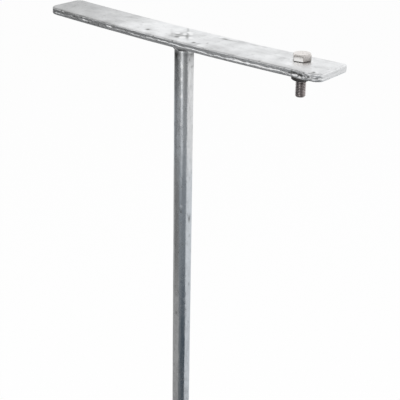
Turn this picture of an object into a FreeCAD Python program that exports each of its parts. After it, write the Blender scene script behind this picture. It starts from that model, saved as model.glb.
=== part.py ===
# Ground rod with a welded flat bar across its top and a bolted earth terminal.
# A round pointed rod is driven into the soil. The flat bar takes the blows and serves as
# a handle, and the bolt near one end of it takes the earth wire's cable lug.
# Rod, bar and weld are hot-dip galvanised steel, and the fasteners are stainless steel.
import FreeCAD, Part
import math
import os
from FreeCAD import Vector

os.makedirs("parts", exist_ok=True)

# Lengths are in millimetres and angles in degrees.
# The origin is on the rod's axis at the top of its free round shank, where the weld ends.
# +X runs along the flat bar towards the terminal bolt, and +Z runs up, away from the point.

# Round rod
ROD_DIAMETER = 16.0
ROD_LENGTH = 1000.0  # from the bar's underside to the tip
POINT_ANGLE = 30.0  # between the point's opposite sides
TIP_RADIUS = 1.5

# Flat bar
BAR_LENGTH = 284.0
BAR_WIDTH = 37.0
BAR_THICKNESS = 6.0
BAR_BOW_RADIUS = 5500.0  # of its underside: both ends bend up a little
BAR_EDGE_RADIUS = 1.2  # of the rolled edges all round

# Radii of the bar's hand-cut corners, seen from above. The front is towards -Y
FRONT_CORNER_AT_BOLT = 7.0
BACK_CORNER_AT_BOLT = 2.5
FRONT_CORNER_AT_FREE_END = 8.0
BACK_CORNER_AT_FREE_END = 6.0

# Fillet weld between the rod and the bar's underside
WELD_ROD_LEG = 5.5  # down the rod
WELD_BAR_LEG = 3.5  # out along the bar
WELD_FUSION = 1.2  # how deep the weld has melted into the rod's side at the bar
WELD_CROWN = 0.4  # how far the bead bulges past a straight line between its toes

# Place of the terminal bolt on the bar
BOLT_FROM_END = 31.7  # along the middle of the bar's thickness
BOLT_FROM_BACK_EDGE = 13.0
HOLE_CLEARANCE = 0.5  # between the bolt and the bar's hole, on the radius

# Thread and hexagon that the bolt and its nut share
THREAD_DIAMETER = 8.0
THREAD_PITCH = 1.25
HEX_WIDTH = 13.0  # across the flats
HEX_CHAMFER_ANGLE = 30.0
HEX_FACE_SHARE = 0.95  # diameter of the flat face inside the chamfer, over the hexagon's width

# Hexagon bolt
BOLT_LENGTH = 28.0  # under the head
HEAD_HEIGHT = 5.3
HEAD_COLLAR_DIAMETER = 11.8  # of the round bearing face under the hexagon
HEAD_COLLAR_HEIGHT = 0.4
HEAD_NECK = 0.4  # width and height of the cone that strengthens the shank under the head
HEAD_TURN = -50.0  # direction of one corner, seen from above
SEAT_GAP = 0.01  # keeps the flat bearing face clear of the bowed top of the bar

# Nut, and the split spring washer between it and the bar
NUT_HEIGHT = 6.8
NUT_TURN = -20.0
NUT_MOUTH_DIAMETER = 8.6  # of the countersinks at the thread's ends
NUT_MOUTH_ANGLE = 120.0
SPRING_BORE = 8.2
SPRING_SECTION_WIDTH = 3.2
SPRING_THICKNESS = 2.2
SPRING_SPLIT = 1.0
SPRING_SPLIT_SLANT = 25.0
SPRING_SPLIT_DIRECTION = 200.0  # seen from above

# Values that follow from the sizes above
ROD_RADIUS = ROD_DIAMETER / 2
BAR_UNDERSIDE = WELD_ROD_LEG
BAR_MIDDLE_HEIGHT = BAR_UNDERSIDE + BAR_THICKNESS / 2
BAR_TOP = BAR_UNDERSIDE + BAR_THICKNESS
BOW_CENTRE = Vector(0, 0, BAR_UNDERSIDE + BAR_BOW_RADIUS)
BAR_MIDDLE_RADIUS = BAR_BOW_RADIUS - BAR_THICKNESS / 2
BOLT_TILT = math.degrees((BAR_LENGTH / 2 - BOLT_FROM_END) / BAR_MIDDLE_RADIUS)
THREAD_RADIUS = THREAD_DIAMETER / 2
THREAD_ROOT_RADIUS = THREAD_RADIUS - 0.6134 * THREAD_PITCH  # ISO metric thread form
THREAD_PITCH_RADIUS = THREAD_RADIUS - 0.3248 * THREAD_PITCH
HEX_CORNER_RADIUS = HEX_WIDTH / math.sqrt(3)
HEX_FACE_RADIUS = HEX_FACE_SHARE * HEX_WIDTH / 2

# Heights in the bolt's own frame, whose zero is the bar's top
SPRING_TOP = -BAR_THICKNESS
NUT_TOP = SPRING_TOP - SPRING_THICKNESS
NUT_BOTTOM = NUT_TOP - NUT_HEIGHT

UP = Vector(0, 0, 1)
ACROSS = Vector(0, 1, 0)
AXIS_FOOT = Vector(0, 0, 0)


def tan(angle):
    return math.tan(math.radians(angle))


def at(radius, height):
    """A point of a turned profile."""
    return Vector(radius, 0, height)


def lines(points):
    """Straight edges from each point to the next."""
    return [Part.LineSegment(a, b).toShape() for a, b in zip(points, points[1:])]


def turned(edges):
    """The solid that a closed profile sweeps about the Z axis."""
    return Part.Face(Part.Wire(edges)).revolve(AXIS_FOOT, UP, 360)


def turned_polygon(points):
    return turned(lines(points + points[:1]))


def hexagonal_prism(bottom, top, turn):
    corners = []
    for i in range(7):
        angle = math.radians(turn + 60 * i)
        corner = Vector(math.cos(angle), math.sin(angle), 0) * HEX_CORNER_RADIUS
        corners.append(corner + Vector(0, 0, bottom))
    return Part.Face(Part.makePolygon(corners)).extrude(Vector(0, 0, top - bottom))


def chamfered_blank(bottom, top, both_ends):
    """A turned disc whose chamfers cut the hexagon's corners back to round arcs."""
    rim = HEX_CORNER_RADIUS + 1
    drop = (rim - HEX_FACE_RADIUS) * tan(HEX_CHAMFER_ANGLE)
    outline = [at(0, top), at(HEX_FACE_RADIUS, top), at(rim, top - drop)]
    if both_ends:
        outline += [at(rim, bottom + drop), at(HEX_FACE_RADIUS, bottom)]
    else:
        outline += [at(rim, bottom)]
    return turned_polygon(outline + [at(0, bottom)])


def seated_on_bar(shape):
    """Move a piece from the bolt's own frame to its place on the bowed bar."""
    placed = shape.copy()
    placed.translate(Vector(0, BAR_WIDTH / 2 - BOLT_FROM_BACK_EDGE, BAR_TOP))
    placed.rotate(BOW_CENTRE, ACROSS, -BOLT_TILT)
    return placed


def is_upright(edge):
    along = edge.Vertexes[-1].Point - edge.Vertexes[0].Point
    return abs(along.z) > max(abs(along.x), abs(along.y))


def with_round_corner(bar, along, across, radius):
    """Round the corner that lies furthest towards the given directions of X and Y."""
    def reach(edge):
        return along * edge.CenterOfMass.x + across * edge.CenterOfMass.y

    corner = max((e for e in bar.Edges if is_upright(e)), key=reach)
    return bar.makeFillet(radius, [corner])


def make_bar():
    """A flat section swept along a shallow arc, with rounded corners and rolled edges."""
    side = BAR_WIDTH / 2
    section = Part.makePolygon([
        Vector(0, -side, BAR_UNDERSIDE),
        Vector(0, side, BAR_UNDERSIDE),
        Vector(0, side, BAR_TOP),
        Vector(0, -side, BAR_TOP),
        Vector(0, -side, BAR_UNDERSIDE),
    ])
    sweep = math.degrees(BAR_LENGTH / BAR_MIDDLE_RADIUS)
    start = Part.Face(section)
    start.rotate(BOW_CENTRE, ACROSS, sweep / 2)
    bar = start.revolve(BOW_CENTRE, -ACROSS, sweep)
    bar = with_round_corner(bar, 1, -1, FRONT_CORNER_AT_BOLT)
    bar = with_round_corner(bar, 1, 1, BACK_CORNER_AT_BOLT)
    bar = with_round_corner(bar, -1, -1, FRONT_CORNER_AT_FREE_END)
    bar = with_round_corner(bar, -1, 1, BACK_CORNER_AT_FREE_END)
    bar = bar.makeFillet(BAR_EDGE_RADIUS, [e for e in bar.Edges if not is_upright(e)])
    hole = Part.makeCylinder(
        THREAD_RADIUS + HOLE_CLEARANCE, 3 * BAR_THICKNESS, at(0, -2 * BAR_THICKNESS), UP
    )
    return bar.cut(seated_on_bar(hole))


def fused_radius(height):
    """Radius of the rod where the weld has melted into it, which goes on inside the bar."""
    return ROD_RADIUS - WELD_FUSION * height / WELD_ROD_LEG


def make_rod(bar):
    """The round rod: its welded end, its straight shank and its blunt conical point."""
    tip = BAR_UNDERSIDE - ROD_LENGTH
    slope = math.radians(POINT_ANGLE / 2)
    nose_side = at(TIP_RADIUS * math.cos(slope), tip + TIP_RADIUS * (1 - math.sin(slope)))
    shoulder = nose_side.z + (ROD_RADIUS - nose_side.x) / math.tan(slope)
    halfway = (math.pi / 2 + slope) / 2
    nose_middle = at(
        TIP_RADIUS * math.cos(halfway), tip + TIP_RADIUS * (1 - math.sin(halfway))
    )
    edges = lines([
        at(0, tip),
        at(0, BAR_MIDDLE_HEIGHT),
        at(fused_radius(BAR_MIDDLE_HEIGHT), BAR_MIDDLE_HEIGHT),
        at(ROD_RADIUS, 0),
        at(ROD_RADIUS, shoulder),
        nose_side,
    ])
    edges.append(Part.Arc(nose_side, nose_middle, at(0, tip)).toShape())
    return turned(edges).cut(bar)


def make_weld():
    """A fillet bead all round the rod, with a slightly crowned face."""
    rod_toe = at(ROD_RADIUS, 0)
    bar_toe = at(ROD_RADIUS + WELD_BAR_LEG, BAR_UNDERSIDE)
    outwards = at(WELD_ROD_LEG, -WELD_BAR_LEG).normalize()
    crown = (rod_toe + bar_toe) / 2 + outwards * WELD_CROWN
    edges = lines([bar_toe, at(fused_radius(BAR_UNDERSIDE), BAR_UNDERSIDE), rod_toe])
    edges.append(Part.Arc(rod_toe, crown, bar_toe).toShape())
    return turned(edges)


def make_bolt():
    """A hexagon bolt. Inside the nut its thread is drawn at the pitch line, where the two meet."""
    hexagon = hexagonal_prism(HEAD_COLLAR_HEIGHT, HEAD_HEIGHT, HEAD_TURN)
    head = hexagon.common(chamfered_blank(HEAD_COLLAR_HEIGHT, HEAD_HEIGHT, False))
    collar = HEAD_COLLAR_DIAMETER / 2
    end = THREAD_RADIUS - THREAD_ROOT_RADIUS
    shank = turned_polygon([
        at(THREAD_RADIUS + HEAD_NECK, 0),
        at(THREAD_RADIUS, -HEAD_NECK),
        at(THREAD_RADIUS, NUT_TOP),
        at(THREAD_PITCH_RADIUS, NUT_TOP),
        at(THREAD_PITCH_RADIUS, NUT_BOTTOM),
        at(THREAD_RADIUS, NUT_BOTTOM),
        at(THREAD_RADIUS, end - BOLT_LENGTH),
        at(THREAD_ROOT_RADIUS, -BOLT_LENGTH),
        at(0, -BOLT_LENGTH),
        at(0, HEAD_HEIGHT / 2),
        at(collar, HEAD_HEIGHT / 2),
        at(collar, 0),
    ])
    bolt = shank.fuse(head).removeSplitter()
    bolt.translate(Vector(0, 0, SEAT_GAP))
    return seated_on_bar(bolt)


def make_nut():
    blank = hexagonal_prism(NUT_BOTTOM, NUT_TOP, NUT_TURN)
    blank = blank.common(chamfered_blank(NUT_BOTTOM, NUT_TOP, True))
    mouth = NUT_MOUTH_DIAMETER / 2
    depth = (mouth - THREAD_PITCH_RADIUS) / tan(NUT_MOUTH_ANGLE / 2)
    bore = turned_polygon([
        at(0, NUT_TOP),
        at(mouth, NUT_TOP),
        at(THREAD_PITCH_RADIUS, NUT_TOP - depth),
        at(THREAD_PITCH_RADIUS, NUT_BOTTOM + depth),
        at(mouth, NUT_BOTTOM),
        at(0, NUT_BOTTOM),
    ])
    return seated_on_bar(blank.cut(bore))


def make_spring_washer():
    """A coil of one turn, pressed flat, with a slanting split."""
    bore = SPRING_BORE / 2
    rim = bore + SPRING_SECTION_WIDTH
    ring = turned_polygon([
        at(bore, SPRING_TOP),
        at(rim, SPRING_TOP),
        at(rim, NUT_TOP),
        at(bore, NUT_TOP),
    ])
    reach = 2 * rim
    middle = (SPRING_TOP + NUT_TOP) / 2
    split = Part.makeBox(reach, SPRING_SPLIT, 4 * SPRING_THICKNESS)
    split.translate(Vector(0, -SPRING_SPLIT / 2, middle - 2 * SPRING_THICKNESS))
    split.rotate(at(0, middle), Vector(1, 0, 0), SPRING_SPLIT_SLANT)
    split.rotate(AXIS_FOOT, UP, SPRING_SPLIT_DIRECTION)
    return seated_on_bar(ring.cut(split))


bar = make_bar()
pieces = {
    "rod": make_rod(bar),
    "cross_bar": bar,
    "weld_bead": make_weld(),
    "terminal_bolt": make_bolt(),
    "spring_washer": make_spring_washer(),
    "terminal_nut": make_nut(),
}
for name, shape in pieces.items():
    shape.exportStep(os.path.join("parts", name + ".step"))
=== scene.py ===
# Ground rod with a flat bar welded across its top and a bolted earth terminal near one end.
# Rod, bar and weld carry an uneven coat of hot-dip zinc, and the fasteners are stainless steel.
# Lengths are in metres where nothing else is said, in the frame of the solids: +Z runs up along
# the rod from the top of its free shank, and +X along the bar towards the terminal bolt.
import math

import bmesh
import bpy
import numpy as np
from bpy.props import FloatProperty, FloatVectorProperty, IntProperty, PointerProperty
from mathutils import Matrix, Vector, noise


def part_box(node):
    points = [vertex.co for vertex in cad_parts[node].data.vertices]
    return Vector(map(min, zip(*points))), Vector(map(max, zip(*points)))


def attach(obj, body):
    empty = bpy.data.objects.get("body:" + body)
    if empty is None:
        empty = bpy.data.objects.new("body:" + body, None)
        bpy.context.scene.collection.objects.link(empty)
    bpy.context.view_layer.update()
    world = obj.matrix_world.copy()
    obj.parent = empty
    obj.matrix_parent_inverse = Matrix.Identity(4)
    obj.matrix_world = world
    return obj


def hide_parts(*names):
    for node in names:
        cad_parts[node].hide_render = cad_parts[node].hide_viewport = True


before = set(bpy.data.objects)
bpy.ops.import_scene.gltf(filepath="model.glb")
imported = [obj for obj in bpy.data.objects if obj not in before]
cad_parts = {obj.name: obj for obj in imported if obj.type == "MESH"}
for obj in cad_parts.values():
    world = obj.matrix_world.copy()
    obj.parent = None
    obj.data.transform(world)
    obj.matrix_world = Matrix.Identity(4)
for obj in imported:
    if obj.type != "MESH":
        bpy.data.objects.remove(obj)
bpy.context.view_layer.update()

bl_info = {
    "name": "Ground Rod",
    "version": (1, 0, 0),
    "blender": (4, 5, 0),
    "location": "View3D > Sidebar > Ground Rod",
    "description": "Builds a galvanised ground rod with a cross bar and an earth terminal",
    "category": "Add Mesh",
}

MM = 0.001
ROD_LOW, ROD_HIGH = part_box("rod")
ROD_RADIUS = ROD_HIGH.x
BAR_HALF_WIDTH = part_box("cross_bar")[1].y

# Steps of the meshes, and the distance at which two points count as one. The rod's rows are
# closer together in the part that the photo shows.
MERGE_DISTANCE = 1e-4 * MM
TINY = 1e-9
CORNER_STEPS = 9
NARROWEST_COLUMN, LAST_COLUMN = 0.1 * MM, 0.05 * MM
EDGE_TURNS = np.radians([18, 36, 54, 72])
WALL_ROWS = 17
HOLE_SIDES = 48
SEEN_ROWS, SEEN_LENGTH, UNSEEN_ROWS = 1.5 * MM, 400 * MM, 200
POINT_ROWS, NOSE_ROWS = 18, 6
WELD_FACE_ROWS = 15
THREAD_SIDES, THREAD_ROWS_A_TURN = 72, 16
SPRING_STEPS = 90

# What the solids of the terminal leave between its pieces, and its lesser sizes
HOLE_CLEARANCE = 0.5 * MM
HEAD_GAP = 0.01 * MM
WASHER_FACE_RADIUS, WASHER_FACE_HEIGHT = 5.9 * MM, 0.4 * MM
THREAD_INSIDE_HEAD = 0.5 * MM
NUT_MOUTH, NUT_SINK_SLOPE = 4.3 * MM, math.tan(math.radians(60))
SPRING_BORE, SPRING_REACH, SPRING_GAP = 4.1 * MM, 7.3 * MM, 1 * MM
SPRING_SLANT, SPRING_DIRECTION = math.radians(25), math.radians(200)
# Metric threads: their depth, and how far in the pitch line lies, as shares of the pitch
THREAD_DEPTH, PITCH_LINE_DEPTH = 0.6134, 0.3248
# Hexagons: the round face as a share of their width, and the slope of the chamfer
ROUND_FACE, CHAMFER_SLOPE = 0.95, math.tan(math.radians(30))

# The camera that took the picture, found from the edges of the bar and the rod
CAMERA_PLACE = (468.828 * MM, -541.104 * MM, 210.932 * MM)
CAMERA_RIGHT = (0.76392, 0.645077, 0.017374)
CAMERA_UP = (-0.293197, 0.322977, 0.899845)

# A ring's radius and width, as shares of its mark's half length and half width
RING_RADIUS, RING_WIDTH = 0.75, 0.3
# Marks in the zinc of the bar's top and front. Each has its place along the bar from its middle
# and across it (or up it), half length, half width and turn, in millimetres and degrees, then its
# height in millimetres and how dark it is; one below zero is a painted highlight. Some are rings.
TOP_MARKS = [
    (0, -1, 12, 10, 0, 0, 0.28),
    (-0.5, -8.4, 2.1, 2.4, 60, -0.1, 0.6),
    (-4.1, -3.2, 2.4, 1.8, 48, -0.08, 0.42),
    (0.4, -3.9, 2.1, 1.6, 60, -0.05, 0.3),
    (3.9, -7.1, 2, 2.1, 57, 0.1, -1.3),
    (-7.1, 0, 1.4, 1.9, 58, 0.1, -1.2),
    (-0.6, 1.6, 1.3, 2, 44, 0.1, -1.3),
    (-7.2, 12.8, 7.3, 0.9, -49, -0.05, 0.36),
    (4.9, -2.2, 9, 1.1, -48, -0.05, 0.36),
    (-0.9, 8.1, 1.5, 1.9, 64, 0.1, -1.3),
    (2.7, 4.8, 1.1, 2, 44, 0.1, -1.1),
    (10, -3.8, 1.3, 2.2, 51, 0.1, -1.2),
    (-10.2, -3.6, 9.6, 1.1, -47, 0, 0.18),
    (19.9, -11.7, 1.5, 1.7, 38, -0.12, 0.85),
    (24.6, -12.2, 2, 1.4, 31, -0.08, 0.45),
    (27.8, -14.6, 1, 1.4, 35, 0.1, -0.7),
    (29.1, -6.2, 0.7, 1.6, 27, -0.08, 0.4),
    (-32.1, -8.6, 1.6, 1.8, 45, -0.15, 0.95),
    (-31.1, -14, 0.9, 1.4, 24, 0.1, -0.5),
    (-46.5, -1.4, 1.4, 1.1, 89, -0.05, 0.3),
    (35.5, 12, 9.2, 1.1, 6, 0.1, 0.45),
    (31.7, 12.6, 2.3, 1.3, 8, 0.1, 0.5),
    (59.2, 14.3, 3.8, 1.2, 1, 0.05, 0.3),
    (68.6, 15.4, 2.2, 1, 7, 0.05, 0.3),
    (134.3, -14.9, 1.1, 1.4, 27, -0.12, 0.85),
    (135.6, -13.2, 0.6, 1.4, 40, 0.1, -0.7),
    (130.1, -17.8, 0.8, 1.4, 40, 0.1, -0.6),
    (-2, -4.5, 9.5, 8, 44, 0.1, 0.12, "ring"),
    (-64, 9, 9, 1.6, 12, 0.05, 0.1),
    # A painted highlight on the top in front of the bolt's head, lightening the head's reflection
    # there
    (117, -2.5, 8, 4.5, 41, 0, -0.7),
]
FRONT_MARKS = [
    (-118.8, 1.8, 5.5, 0.8, 7, 0, 0.5),
    (-114.5, 0.4, 3.2, 0.7, 12, -0.25, -0.4),
    (-103.9, 2.8, 1.9, 0.5, 1, 0, 0.4),
    (-107.9, -1.3, 3.1, 0.5, 1, 0, 0.4),
    (-97, 0.3, 2.3, 0.8, 0, -0.4, -1.2),
    (-99.1, -1.5, 1.4, 0.4, 2, 0, 0.5),
    (-91.6, -1.2, 2, 0.5, -4, 0, 0.6),
    (-86.2, -0.2, 2.4, 0.6, 1, 0.05, -0.3),
    (-69, 1.2, 2, 0.8, -6, -0.45, -1.4),
    (-65.9, 0.9, 1.9, 0.8, 5, -0.4, -1.2),
    (-61.3, -0.9, 2.3, 0.5, -2, 0, 0.6),
    (-70.7, -0.7, 1.4, 0.4, -4, 0, 0.4),
    (-50.8, -0.3, 5.8, 0.8, 0, 0, 0.25),
    (68.8, 0.4, 5.4, 0.8, -3, -0.35, -1.2),
    (79.1, 0.1, 2, 0.8, -4, -0.3, -1),
    (89.1, -0.1, 4, 0.8, -3, -0.3, -1.2),
    (95.1, 0.2, 1.5, 0.8, -77, 0.2, 0.4),
    (99.7, 0.2, 1.4, 0.8, -3, -0.3, -1),
    (115.4, -0.2, 0.7, 0.8, 8, -0.35, 1.3),
    (117.1, 0.6, 0.8, 0.8, 8, -0.35, 1.3),
    (117.1, -0.8, 0.6, 0.7, 7, -0.3, 0.9),
    (119.3, 0.4, 1.1, 0.8, 7, -0.45, 1.6),
    (121.5, 0.5, 0.7, 0.8, 8, -0.35, 1.3),
    (124.8, 0, 2.1, 0.8, 2, -0.5, 1.6),
    (125.9, -0.7, 0.9, 0.7, -1, -0.3, 1.3),
    (128, 2, 0.7, 0.6, 8, -0.1, 0.9),
    (131.8, 0, 1, 0.8, 5, -0.4, 1.3),
    (138.5, -0.3, 0.8, 0.7, 9, -0.3, 0.9),
    (119, -1.2, 1, 0.6, 6, -0.15, -0.8),
    (121.8, -0.7, 0.6, 0.6, 5, -0.25, -1),
    (125.3, -1.5, 1.4, 0.65, 6, -0.2, -1.2),
    (128.9, -0.9, 1.2, 0.65, 10, -0.3, -1.1),
    (127.5, 0.8, 0.6, 0.6, 3, 0.1, -0.9),
    (134.5, 0.2, 0.8, 0.7, 8, -0.3, -1),
    (131.4, 1, 0.6, 0.6, 6, 0.1, -0.7),
    (136.5, -1.6, 0.5, 0.4, 3, 0.1, -0.5),
    (140.1, -0.8, 0.5, 0.4, 7, 0.1, -0.4),
    (131.8, 0, 2.4, 1.2, 0, 0.25, -0.3, "ring"),
]
# The same on the rod: height on it, and angle about it instead of the place across
ROD_MARKS = [
    (-5.5, -84, 1.5, 1.1, 0, 0.25, -0.6),
    (-4.5, -104, 3.4, 1.5, 0, -0.1, 0.75),
    (-11, -98, 2.2, 1.2, 0, -0.1, 0.3),
    (-25.6, -72, 1.9, 1.4, 0, 0.2, 0.25, "ring"),
    (-39.5, -72, 1, 1.9, 0, 0.15, -0.3),
    (-64, -70, 1.3, 1.1, 0, 0.2, 0.15),
    (-140.5, -59, 2.1, 1.4, 0, 0.2, 0.1, "ring"),
    (-151.6, -3, 3.2, 1.1, 0, -0.2, 0.8),
    (-144.6, 8, 5.9, 2, 0, 0.25, 0),
    (-212.9, -57, 1, 1.8, 0, 0.12, -0.2),
    (-234, -38, 1.6, 0.6, 0, 0.15, 0),
    (-232, -46, 9, 0.7, 0, 0.08, 0),
    (-296, -58, 4, 0.9, 0, 0.1, 0),
]

# Grey cards round the object, as a photographer of bare metal puts them up. Each has its
# direction from and to, seen from the camera's side and counted to the right, then its bottom,
# top, grey level and how blue it is.
STUDIO_CARDS = [
    (-180, -130, -0.29, 0, 0.36, 0),
    (-130, -62, -0.29, 0.16, 0.11, 0),
    (-62, -35, -0.29, 0, 0.35, 0),
    (-35, -11, -0.29, 0, 0.98, 0),
    (-11, 8, -0.29, 0, 0.34, 0),
    (8, 46, -0.29, 0, 0.2, 0),
    (46, 180, -0.29, 0, 0.74, 0),
    (-180, -125, -0.43, -0.29, 0.4, 0.05),
    (-125, -88, -0.43, -0.29, 0.2, 0.05),
    (-88, -32, -0.43, -0.29, 0.32, 0.05),
    (-32, -8, -0.43, -0.29, 0.56, 0.05),
    (-8, 45, -0.43, -0.29, 0.29, 0.05),
    (45, 180, -0.43, -0.29, 0.71, 0),
    (-180, -112, -0.67, -0.43, 0.32, 0),
    (-112, -48, -0.67, -0.43, 0.15, 0),
    (-48, 44, -0.67, -0.43, 0.2, 0.1),
    (44, 180, -0.67, -0.43, 0.62, 0.05),
    (-180, -38, -0.985, -0.67, 0.32, 0),
    (-38, -12, -0.985, -0.67, 0.14, 0.1),
    (-12, 46, -0.985, -0.67, 0.07, 0.25),
    (46, 180, -0.985, -0.67, 0.57, 0.05),
]
DEGREES_A_BEND = 6
# Round cards under and over the object: radius, height and grey level
ROUND_CARDS = {"mat": (0.75, ROD_LOW.z + 9 * MM, 0.12), "ceiling": (1.0, 0.95, 0.6)}
ROUND_CARD_SIDES = 48
FLOOR_REACH, FLOOR_LEVEL = 14.0, ROD_LOW.z - 0.5 * MM
SOFTBOX_SIZE, SOFTBOX_PLACE = 1.6, (0.2, -0.2, 1.8)
WHITE = (1.0, 1.0, 1.0, 1.0)


# Settings


def mm_property(name, about, size, least=1.0):
    """A length, whose size and least value are given in millimetres."""
    return FloatProperty(name=name, description=about, default=size * MM, min=least * MM,
                         unit="LENGTH")


def angle_property(name, about, degrees):
    return FloatProperty(name=name, description=about, default=math.radians(degrees),
                         subtype="ANGLE")


def colour_property(name, about, *colour):
    return FloatVectorProperty(name=name, description=about, default=colour, size=3,
                               min=0, max=1, subtype="COLOR")


class BarSettings(bpy.types.PropertyGroup):
    thickness: mm_property("Thickness", "Thickness of the flat bar", 6)
    length: mm_property("Length", "Length along the middle of the bar's thickness", 284)
    bow_radius: mm_property(
        "Bow radius", "Radius to which the bar's underside is bowed", 5500, 100)
    front_corner_at_bolt: mm_property(
        "Front corner at bolt", "Radius of the near corner by the bolt", 7)
    back_corner_at_bolt: mm_property(
        "Back corner at bolt", "Radius of the far corner by the bolt", 2.5)
    front_corner_at_free_end: mm_property(
        "Front corner at free end", "Radius of the near corner of the free end", 8)
    back_corner_at_free_end: mm_property(
        "Back corner at free end", "Radius of the far corner of the free end", 6)
    edge_radius: mm_property("Edge radius", "Radius of the rolled edges", 1.2, 0.1)
    cell: mm_property("Mesh size", "Width of the bar's mesh cells", 0.72, 0.3)
    bead_height: mm_property(
        "Bead height", "Height of the bead in which the zinc drains along the sides", 0.36, 0)
    wave_height: mm_property("Wave height", "Height of the long waves in the zinc", 0.12, 0)


class RodSettings(bpy.types.PropertyGroup):
    point_angle: angle_property("Point angle", "Angle between the point's opposite sides", 30)
    tip_radius: mm_property("Tip radius", "Radius of the blunt tip", 1.5, 0.1)
    sides: IntProperty(name="Sides", description="Mesh cells round the rod", default=96, min=12)
    wave_height: mm_property(
        "Wave height", "Height of the runs and lumps in the rod's zinc", 0.1, 0)


class WeldSettings(bpy.types.PropertyGroup):
    rod_leg: mm_property("Leg on the rod", "How far the fillet reaches down the rod", 5.5)
    bar_leg: mm_property("Leg on the bar", "How far the fillet reaches out along the bar", 3.5)
    fusion: mm_property("Fusion", "How deep the weld has melted into the rod", 1.2, 0)
    crown: mm_property("Crown", "How far the bead bulges past a straight line", 0.4, 0)
    ripples: IntProperty(
        name="Ripples", description="Number of ripples round the bead", default=31, min=3)
    ripple_height: mm_property("Ripple height", "Height of each ripple", 0.28, 0)


class TerminalSettings(bpy.types.PropertyGroup):
    from_end: mm_property("From end", "Distance of the bolt from the bar's end", 31.7)
    from_back_edge: mm_property(
        "From back edge", "Distance of the bolt from the bar's back edge", 13)
    diameter: mm_property("Thread diameter", "Outer diameter of the thread", 8)
    pitch: mm_property(
        "Thread pitch", "Distance from one turn of the thread to the next", 1.25, 0.2)
    length: mm_property("Bolt length", "Length of the bolt under its head", 28)
    hex_width: mm_property("Hexagon width", "Width of the head and the nut across the flats", 13)
    head_height: mm_property("Head height", "Height of the bolt's head", 5.3)
    head_turn: angle_property("Head turn", "Direction of one corner of the head, from above", -50)
    nut_height: mm_property("Nut height", "Height of the nut", 6.8)
    nut_turn: angle_property("Nut turn", "Direction of one corner of the nut, from above", -20)
    spring_thickness: mm_property(
        "Spring washer thickness", "Height of the pressed spring washer", 2.2)


class FinishSettings(bpy.types.PropertyGroup):
    bright_zinc: colour_property(
        "Bright zinc", "Colour of the zinc where it is fresh and smooth", 0.935, 0.945, 0.955)
    dull_zinc: colour_property(
        "Dull zinc", "Colour of the zinc where it has gone dull", 0.78, 0.79, 0.80)
    # Also the colour of the painted shade on the rod below the bar and round the bolt's head
    dross_and_painted_shade: colour_property(
        "Dross and painted shade", "Colour of the dirt and dross in pits of the zinc", 0.16, 0.16, 0.155)
    head_steel: colour_property("Head steel", "Colour of the bolt's head", 0.78, 0.745, 0.72)
    thread_steel: colour_property("Thread steel", "Colour of the bolt's thread", 0.62, 0.575, 0.57)
    # A dark colour that paints the shade below the bar onto the nut and the spring washer
    nut_steel_in_painted_shade: colour_property(
        "Nut steel in painted shade", "Colour of the nut and the spring washer", 0.16, 0.155, 0.15)
    # Also the colour of the painted shade in the joint under the bolt's head
    grime_and_painted_light: colour_property("Grime and painted shade", "Colour of the dirt on the fasteners", 0.10, 0.085, 0.075)


class StageSettings(bpy.types.PropertyGroup):
    floor_colour: colour_property("Floor colour", "Colour of the floor", 0.93, 0.93, 0.93)
    floor_white: FloatProperty(
        name="Floor white", description="Share of plain white in the floor, the rest shows shadow",
        default=0.9, min=0, max=1, subtype="FACTOR")
    light: FloatProperty(
        name="Room light", description="Strength of the light from all round", default=0.85, min=0)
    softbox_power: FloatProperty(
        name="Softbox power", description="Power of the soft light overhead", default=16, min=0,
        unit="POWER")
    card_distance: mm_property(
        "Card distance", "Distance of the grey cards from the rod", 750, 200)
    lens: FloatProperty(
        name="Lens", description="Focal length of the camera's lens in millimetres",
        default=81.9045, min=10)


class GroundRodSettings(bpy.types.PropertyGroup):
    bar: PointerProperty(type=BarSettings)
    rod: PointerProperty(type=RodSettings)
    weld: PointerProperty(type=WeldSettings)
    terminal: PointerProperty(type=TerminalSettings)
    finish: PointerProperty(type=FinishSettings)
    stage: PointerProperty(type=StageSettings)


# Node trees


def feed(tree, socket, value):
    """Link a socket to a field, a socket or a node's first output, or set its plain value."""
    if isinstance(value, Field):
        value = value.socket
    elif isinstance(value, bpy.types.Node):
        value = value.outputs[0]
    if isinstance(value, bpy.types.NodeSocket):
        tree.links.new(value, socket)
    else:
        socket.default_value = value


def node(tree, kind, inputs=None, **options):
    """Add a node with its options and its inputs by name or number."""
    made = tree.nodes.new(kind)
    for name, value in options.items():
        setattr(made, name, value)
    for name, value in (inputs or {}).items():
        feed(tree, made.inputs[name], value)
    return made


def field(tree, kind, inputs=None, output=0, **options):
    """Add a node and take one of its outputs as a field."""
    return Field(tree, node(tree, kind, inputs, **options).outputs[output])


class Field:
    """A number that varies over a surface. Arithmetic on it adds nodes to its tree."""

    def __init__(self, tree, socket):
        self.tree = tree
        self.socket = socket

    def math(self, operation, *others):
        return field(self.tree, "ShaderNodeMath", dict(enumerate((self, *others))),
                     operation=operation)

    def __add__(self, other):
        return self.math("ADD", other)

    def __sub__(self, other):
        return self.math("SUBTRACT", other)

    def __mul__(self, other):
        return self.math("MULTIPLY", other)

    def __truediv__(self, other):
        return self.math("DIVIDE", other)

    def ramp(self, low, high, start=0.0, end=1.0, kind="LINEAR"):
        """Goes from start to end as this field goes from low to high, and stays there."""
        return field(self.tree, "ShaderNodeMapRange",
                     dict(enumerate((self, low, high, start, end))),
                     interpolation_type=kind, clamp=True)


def split(tree, vector):
    made = node(tree, "ShaderNodeSeparateXYZ", {0: vector})
    return [Field(tree, output) for output in made.outputs]


def scaled(tree, vector, by):
    return node(tree, "ShaderNodeVectorMath", {0: vector, 1: by}, operation="MULTIPLY")


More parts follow.
